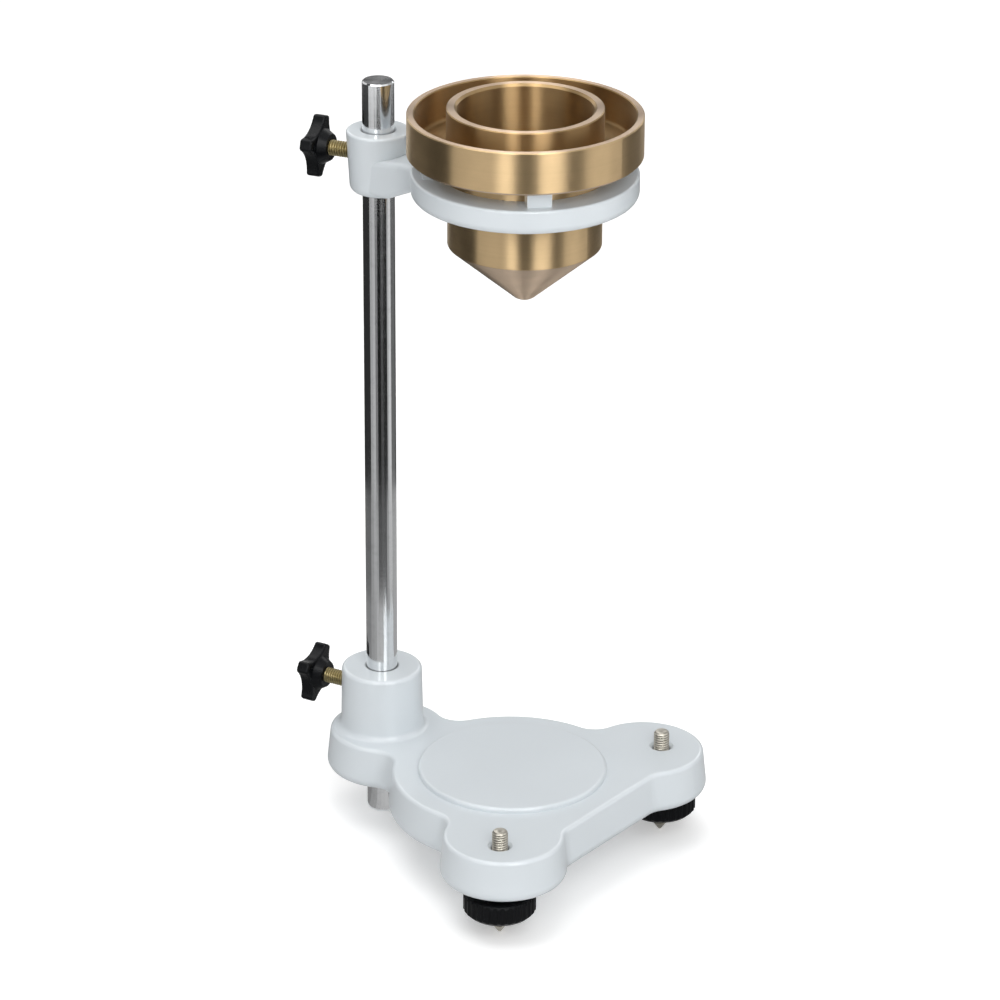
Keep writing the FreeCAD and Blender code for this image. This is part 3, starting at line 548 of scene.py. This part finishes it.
def black_moulding(name, colours, roughness):
    """Satin black plastic: fine grain, dull patches and dust on what faces up."""
    made, tree, shader, where = new_material(name, 0.0)
    dust = remap(tree, noise(tree, where, *BLACK_DUST), *DUSTY, 0.0, DUST_COVER)
    lying = remap(tree, facing_up(tree), *DUST_FACING, *DUST_LYING)
    dusty = math_node(tree, "MULTIPLY", dust, lying)
    wire(tree, shader, "Base Color",
         mix(tree, dusty, shade(colours.black, 1.0), shade(colours.dust, 1.0)))
    patches = noise(tree, where, *BLACK_PATCHES)
    wire(tree, shader, "Roughness", remap(tree, patches, *USUAL, *roughness))
    shader.inputs["Specular IOR Level"].default_value = BLACK_SPECULAR
    bump(tree, shader, noise(tree, where, *BLACK_GRAIN), *GRAIN_RELIEF)
    return made


def dress(made, *nodes):
    """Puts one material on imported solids."""
    for node in nodes:
        slots = NODES[node].data.materials
        slots.clear()
        slots.append(made)


def joint_axis(name):
    """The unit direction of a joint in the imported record."""
    found = [joint for joint in frame["joints"] if joint["name"] == name]
    return Vector(found[0]["axis"]).normalized()


def reach(node, direction):
    """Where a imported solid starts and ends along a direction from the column's axis."""
    along = [vertex.co.dot(direction) for vertex in NODES[node].data.vertices]
    return min(along), max(along)


def upright_bore(node):
    """The axis and the radius of an upright round solid."""
    low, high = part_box(node)
    return (low + high) / 2, (high.x - low.x) / 2


def share(value, low, high):
    """How far a value is from low to high, kept from 0 to 1."""
    return min(1.0, max(0.0, (value - low) / (high - low)))


def new_object(name, points, faces):
    """An object in the scene, from points and faces."""
    mesh = bpy.data.meshes.new(name)
    mesh.from_pydata(points, [], faces)
    made = bpy.data.objects.new(name, mesh)
    bpy.context.scene.collection.objects.link(made)
    return made


def screw_mesh(name, start, direction, length, radius, sizes, tip_radius, tip_length):
    """Threaded rod from start along direction; "root" is 1 at the bottom of the thread."""
    side = direction.orthogonal().normalized()
    other = direction.cross(side)
    rows = round(length / sizes.pitch * sizes.steps_along)
    points, roots, faces = [], [], []
    for row in range(rows + 1):
        along = length * row / rows
        near = tip_radius + (radius - tip_radius) * share(along, 0.0, tip_length)
        far = radius - sizes.chamfer * share(along, length - sizes.chamfer, length)
        turned = min(near, far)
        for step in range(sizes.steps_round):
            turn = step / sizes.steps_round
            wave = abs(2.0 * ((along / sizes.pitch - turn) % 1.0) - 1.0)
            sunk = 1.0 - share(wave, ROOT_FLAT, CREST_FLAT)
            out = min(turned, radius - sizes.depth * sunk)
            spoke = side * math.cos(math.tau * turn) + other * math.sin(math.tau * turn)
            points.append(start + direction * along + spoke * out)
            roots.append(sunk)
    for row in range(rows):
        here, above = row * sizes.steps_round, (row + 1) * sizes.steps_round
        for step in range(sizes.steps_round):
            beside = (step + 1) % sizes.steps_round
            faces.append((here + step, here + beside, above + beside, above + step))
    faces.append(tuple(reversed(range(sizes.steps_round))))
    faces.append(tuple(rows * sizes.steps_round + step for step in range(sizes.steps_round)))
    made = new_object(name, points, faces)
    made.data.attributes.new("root", "FLOAT", "POINT").data.foreach_set("value", roots)
    made.data.shade_smooth()
    made.data.set_sharp_from_angle(angle=SHARP_ANGLE)
    return made


def card_mesh(name, centre, bands, outline, towards):
    """Cards round an upright axis, from an outline of radii and heights; "level" is their light."""
    points, faces, levels = [], [], []
    start = FIRST_ANGLE
    for stop, level in bands:
        steps = max(1, round((stop - start) / CARD_STEP))
        for step in range(steps):
            corner = len(points)
            for edge in (step, step + 1):
                turn = towards + math.radians(start + (stop - start) * edge / steps)
                for radius, height in outline:
                    spoke = Vector((radius * math.cos(turn), radius * math.sin(turn), height))
                    points.append(centre + spoke)
            for low in range(corner, corner + len(outline) - 1):
                faces.append((low, low + 1, low + 1 + len(outline), low + len(outline)))
                levels.append(level)
        start = stop
    made = new_object(name, points, faces)
    made.data.attributes.new("level", "FLOAT", "FACE").data.foreach_set("value", levels)
    return made


def card_light(name):
    """Plain light at the "level" that each face carries."""
    made = bpy.data.materials.new(name)
    made.use_nodes = True
    tree = made.node_tree
    tree.nodes.clear()
    level = put(tree, "ShaderNodeAttribute", {"attribute_name": "level"}).outputs["Fac"]
    glow = put(tree, "ShaderNodeEmission", None, {"Strength": level}).outputs[0]
    put(tree, "ShaderNodeOutputMaterial", None, {"Surface": glow})
    return made


def floor_material(name):
    """Pale floor that keeps the shadow; what is seen of it is topped up to white."""
    made, tree, shader, where = new_material(name, 0.0)
    seen = backdrop_rays(tree)
    cloud = noise(tree, where, *FLOOR_CLOUD)
    pale = mix(tree, cloud, grey(SEEN_GREYS[0]), grey(SEEN_GREYS[1]))
    wire(tree, shader, "Base Color", mix(tree, seen, grey(LIGHTING_GREY), pale))
    shader.inputs["Roughness"].default_value = 1.0
    shader.inputs["Specular IOR Level"].default_value = 0.0
    shader.inputs["Emission Color"].default_value = grey(1.0)
    away = vector_math(tree, "LENGTH", where)["Value"]
    top_up = remap(tree, away, *TOP_UP_REACH, *TOP_UP)
    wire(tree, shader, "Emission Strength", math_node(tree, "MULTIPLY", seen, top_up))
    return made


def add_floor():
    """Pale floor just under the object."""
    half = FLOOR_WIDTH / 2
    low = CAD_LOW.z - FLOOR_GAP
    corners = [(-half, -half, low), (half, -half, low), (half, half, low), (-half, half, low)]
    floor = new_object("floor", corners, [(0, 1, 2, 3)])
    floor.data.materials.append(floor_material("pale_floor"))


def add_cards(azimuth):
    """Rings of cards round the column and the cup, seen only in reflections."""
    towards = math.atan2(-math.cos(azimuth), math.sin(azimuth))
    cup_axis = Vector((CUP_AXIS.x, CUP_AXIS.y, CAD_LOW.z))
    rod_axis = Vector((COLUMN_AXIS.x, COLUMN_AXIS.y, CAD_LOW.z))
    cup_outline = ((CUP_START, CARD_LIFT), (WALL_RADIUS, CARD_LIFT), (WALL_RADIUS, WALL_TOP))
    high_outline = ((HIGH_RADIUS, HIGH_START), (HIGH_RADIUS, HIGH_TOP))
    far_outline = ((FAR_START, CARD_LIFT), (FAR_END, CARD_LIFT))
    middle_outline = ((MIDDLE_START, CARD_LIFT), (FAR_START, CARD_LIFT))
    near_outline = ((NEAR_START, CARD_LIFT), (MIDDLE_START, CARD_LIFT))
    cards = (
        card_mesh("cup_cards", cup_axis, CUP_CARDS, cup_outline, towards),
        card_mesh("far_rod_cards", rod_axis, FAR_ROD_CARDS, far_outline, towards),
        card_mesh("middle_rod_cards", rod_axis, MIDDLE_ROD_CARDS, middle_outline, towards),
        card_mesh("near_rod_cards", rod_axis, NEAR_ROD_CARDS, near_outline, towards),
        card_mesh("high_cards", cup_axis, HIGH_CARDS, high_outline, towards),
    )
    light = card_light("reflection_card")
    for card in cards:
        card.data.materials.append(light)
        card.visible_camera = False
        card.visible_diffuse = False
        card.visible_shadow = False
        card.visible_transmission = False
        card.visible_volume_scatter = False


def add_world(ambient):
    """White background, and a soft even light on the object."""
    world = bpy.data.worlds.new("soft_room")
    world.use_nodes = True
    tree = world.node_tree
    background = tree.nodes["Background"]
    background.inputs["Color"].default_value = grey(1.0)
    wire(tree, background, "Strength", remap(tree, backdrop_rays(tree), 0.0, 1.0, ambient, 1.0))
    bpy.context.scene.world = world


def camera_back(sizes):
    """Unit direction from the point looked at to the camera."""
    flat = math.cos(sizes.elevation)
    return Vector((math.sin(sizes.azimuth) * flat, -math.cos(sizes.azimuth) * flat,
                   math.sin(sizes.elevation)))


def camera_right(sizes):
    """Level unit direction to the camera's right."""
    return Vector((math.cos(sizes.azimuth), math.sin(sizes.azimuth), 0.0))


def add_lamp(name, place, target, width, power):
    """Soft square lamp at a place, shining at a target."""
    data = bpy.data.lights.new(name, "AREA")
    data.shape = "SQUARE"
    data.size = width
    data.energy = power
    made = bpy.data.objects.new(name, data)
    turn = (Vector(target) - place).to_track_quat("-Z", "Y")
    made.matrix_world = Matrix.LocRotScale(place, turn, None)
    bpy.context.scene.collection.objects.link(made)
    return made


def add_lamps(sizes):
    """One lamp overhead, and one by the camera that reflections don't show."""
    right = camera_right(sizes)
    over = UP * TOP_LAMP_HEIGHT - right * TOP_LAMP_LEFT
    add_lamp("top_lamp", over, sizes.look_at, TOP_LAMP_WIDTH, sizes.top_power)
    beside = (camera_back(sizes) * FRONT_LAMP_BACK + right * FRONT_LAMP_RIGHT
              + UP * FRONT_LAMP_UP)
    front = add_lamp("front_lamp", beside, sizes.look_at, FRONT_LAMP_WIDTH, sizes.front_power)
    front.visible_glossy = False


def add_camera(sizes):
    """Camera at the photograph's place."""
    data = bpy.data.cameras.new("camera")
    data.lens = sizes.lens
    data.clip_end = 2 * FLOOR_WIDTH
    made = bpy.data.objects.new("camera", data)
    back = camera_back(sizes)
    level_right = camera_right(sizes)
    level_up = back.cross(level_right)
    right = level_right * math.cos(sizes.roll) + level_up * math.sin(sizes.roll)
    up = level_up * math.cos(sizes.roll) - level_right * math.sin(sizes.roll)
    turn = Matrix((right, up, back)).transposed()
    place = Vector(sizes.look_at) + back * sizes.distance
    made.matrix_world = Matrix.Translation(place) @ turn.to_4x4()
    bpy.context.scene.collection.objects.link(made)
    bpy.context.scene.camera = made


class VISCOMETER_OT_castings(bpy.types.Operator):
    """Enamel the base and the cup bracket"""

    bl_idname = "viscometer.castings"
    bl_label = "Enamelled castings"
    bl_options = {"REGISTER", "UNDO"}

    def execute(self, context):
        colours = context.scene.viscometer_colours
        bores = [upright_bore(node) for node in
                 ("column_rod", "front_levelling_screw", "rear_levelling_screw")]
        dress(enamel("grey_enamel", colours.enamel, bores), "base_casting", "cup_bracket")
        return {"FINISHED"}


class VISCOMETER_OT_column(bpy.types.Operator):
    """Plate the column"""

    bl_idname = "viscometer.column"
    bl_label = "Plated column"
    bl_options = {"REGISTER", "UNDO"}

    def execute(self, context):
        colours = context.scene.viscometer_colours
        dress(chrome_plate("chrome_plate", colours.chrome), "column_rod")
        return {"FINISHED"}


class VISCOMETER_OT_brass(bpy.types.Operator):
    """Finish the turned cup, its gallery and its jet"""

    bl_idname = "viscometer.brass"
    bl_label = "Turned brass"
    bl_options = {"REGISTER", "UNDO"}

    def execute(self, context):
        colours = context.scene.viscometer_colours
        turned = turned_brass("turned_brass", colours)
        dress(turned, "cup_body", "overflow_gallery", "orifice_jet")
        return {"FINISHED"}


class VISCOMETER_OT_mouldings(bpy.types.Operator):
    """Finish the black knobs and levelling wheels"""

    bl_idname = "viscometer.mouldings"
    bl_label = "Black mouldings"
    bl_options = {"REGISTER", "UNDO"}

    def execute(self, context):
        colours = context.scene.viscometer_colours
        knob = black_moulding("knob_black", colours, KNOB_ROUGHNESS)
        wheel = black_moulding("wheel_black", colours, WHEEL_ROUGHNESS)
        dress(knob, "column_clamp_knob", "bracket_clamp_knob")
        dress(wheel, "front_levelling_wheel", "rear_levelling_wheel")
        return {"FINISHED"}


class VISCOMETER_OT_clamp_screws(bpy.types.Operator):
    """Cut the threads of the two clamp screws"""

    bl_idname = "viscometer.clamp_screws"
    bl_label = "Clamp screws"
    bl_options = {"REGISTER", "UNDO"}

    def execute(self, context):
        sizes = context.scene.viscometer_threads
        colours = context.scene.viscometer_colours
        plate = plated_thread("yellow_zinc", colours.zinc)
        for side in ("column", "bracket"):
            node = f"{side}_clamp_screw"
            low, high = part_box(node)
            outwards = joint_axis(f"{side}_clamp_travel")
            begin, end = reach(node, outwards)
            start = outwards * begin + UP * ((low.z + high.z) / 2)
            radius = (high.z - low.z) / 2
            screw = screw_mesh(f"{side}_clamp_thread", start, outwards, end - begin, radius,
                               sizes, radius - sizes.chamfer, sizes.chamfer)
            screw.data.materials.append(plate)
            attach(screw, f"{side}_screw")
            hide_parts(node)
        return {"FINISHED"}


class VISCOMETER_OT_levelling_screws(bpy.types.Operator):
    """Cut the threads of the two pointed levelling screws"""

    bl_idname = "viscometer.levelling_screws"
    bl_label = "Levelling screws"
    bl_options = {"REGISTER", "UNDO"}

    def execute(self, context):
        sizes = context.scene.viscometer_threads
        colours = context.scene.viscometer_colours
        plate = plated_thread("nickel", colours.nickel)
        for side in ("front", "rear"):
            node = f"{side}_levelling_screw"
            low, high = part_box(node)
            middle = (low + high) / 2
            start = Vector((middle.x, middle.y, low.z))
            screw = screw_mesh(f"{side}_levelling_thread", start, UP, high.z - low.z,
                               (high.x - low.x) / 2, sizes, sizes.point_flat, sizes.point)
            screw.data.materials.append(plate)
            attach(screw, f"{side}_foot")
            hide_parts(node)
        return {"FINISHED"}


class VISCOMETER_OT_studio(bpy.types.Operator):
    """Set up the floor, cards, lamps, world and camera"""

    bl_idname = "viscometer.studio"
    bl_label = "Studio"
    bl_options = {"REGISTER", "UNDO"}

    def execute(self, context):
        sizes = context.scene.viscometer_studio
        context.scene.view_settings.view_transform = "Standard"
        add_floor()
        add_cards(sizes.azimuth)
        add_lamps(sizes)
        add_world(sizes.ambient)
        add_camera(sizes)
        return {"FINISHED"}


class VISCOMETER_PT_panel(bpy.types.Panel):
    """Settings and buttons that dress the viscometer"""

    bl_label = "Viscometer"
    bl_idname = "VISCOMETER_PT_panel"
    bl_space_type = "VIEW_3D"
    bl_region_type = "UI"
    bl_category = "Viscometer"

    def draw(self, context):
        for group, kind in GROUPS.items():
            box = self.layout.box()
            for name in kind.__annotations__:
                box.prop(getattr(context.scene, group), name)
        for operator in OPERATORS:
            self.layout.operator(operator.bl_idname)


GROUPS = {
    "viscometer_threads": ThreadSizes,
    "viscometer_colours": FinishColours,
    "viscometer_studio": StudioSizes,
}
OPERATORS = (
    VISCOMETER_OT_castings,
    VISCOMETER_OT_column,
    VISCOMETER_OT_brass,
    VISCOMETER_OT_mouldings,
    VISCOMETER_OT_clamp_screws,
    VISCOMETER_OT_levelling_screws,
    VISCOMETER_OT_studio,
)


def register():
    """Adds the classes and the settings to Blender."""
    for group, kind in GROUPS.items():
        bpy.utils.register_class(kind)
        setattr(bpy.types.Scene, group, PointerProperty(type=kind))
    for kind in OPERATORS + (VISCOMETER_PT_panel,):
        bpy.utils.register_class(kind)


def unregister():
    """Takes the classes and the settings out again."""
    for kind in OPERATORS + (VISCOMETER_PT_panel,):
        bpy.utils.unregister_class(kind)
    for group, kind in GROUPS.items():
        delattr(bpy.types.Scene, group)
        bpy.utils.unregister_class(kind)


def main():
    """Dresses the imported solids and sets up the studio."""
    register()
    bpy.ops.viscometer.castings()
    bpy.ops.viscometer.column()
    bpy.ops.viscometer.brass()
    bpy.ops.viscometer.mouldings()
    bpy.ops.viscometer.clamp_screws()
    bpy.ops.viscometer.levelling_screws()
    bpy.ops.viscometer.studio()


if __name__ == "__main__":
    main()
